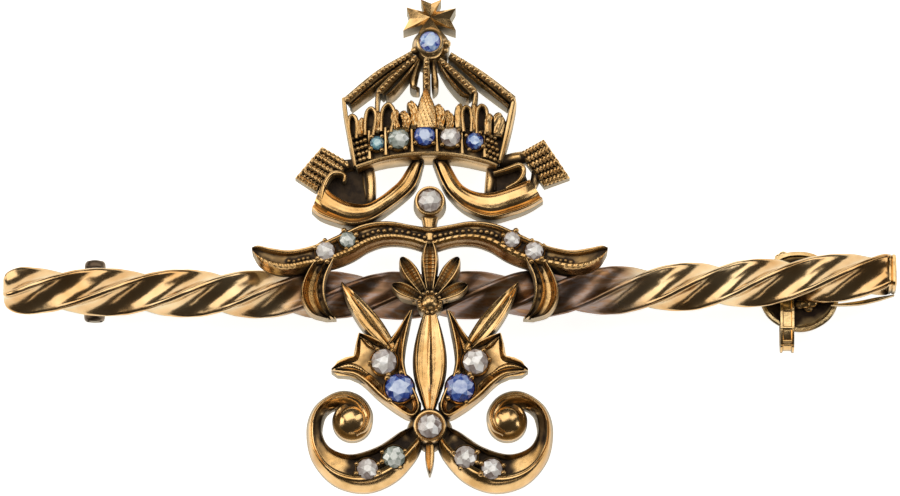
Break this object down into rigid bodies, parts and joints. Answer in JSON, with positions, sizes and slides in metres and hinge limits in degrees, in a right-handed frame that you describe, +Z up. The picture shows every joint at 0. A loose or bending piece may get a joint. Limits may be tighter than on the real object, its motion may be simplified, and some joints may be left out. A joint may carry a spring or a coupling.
{
  "type": "crowned foliate bar brooch",
  "caption": "Twisted gold bar brooch with a crown, ribbons and a leafy scroll spray set with small stones, pin at the back",
  "frame": {"origin": "on the table under the middle of the brooch's box, as it lies face up on its hinge, its catch and the heel of its crown", "axes": "+X along the bar from the hinge to the catch, +Y towards the crown, +Z up, away from the table"},
  "size_m": [0.0576, 0.032, 0.0084],
  "materials": {
    "gold": "polished cast gold with dark patina in its hollows",
    "pin_gold": "drawn gold wire, a little tarnished",
    "sapphire": "cut and polished blue stone",
    "diamond": "old cut colourless stone"
  },
  "bodies": {
    "root": {"arm_diamond_inner_left": "diamond", "arm_diamond_inner_right": "diamond", "arm_diamond_outer_left": "diamond", "arm_diamond_outer_right": "diamond", "band_diamond_left": "diamond", "band_diamond_right": "diamond", "band_sapphire_left": "sapphire", "band_sapphire_middle": "sapphire", "band_sapphire_right": "sapphire", "bloom_diamond_left": "diamond", "bloom_diamond_right": "diamond", "bloom_sapphire_left": "sapphire", "bloom_sapphire_right": "sapphire", "collet_diamond_lower": "diamond", "collet_diamond_upper": "diamond", "foot_diamond_inner_left": "diamond", "foot_diamond_inner_right": "diamond", "foot_diamond_outer_left": "diamond", "foot_diamond_outer_right": "diamond", "gold_body": "gold", "hinge_rivet": "pin_gold", "orb_sapphire": "sapphire", "pin_stem": "pin_gold"}
  },
  "joints": []
}
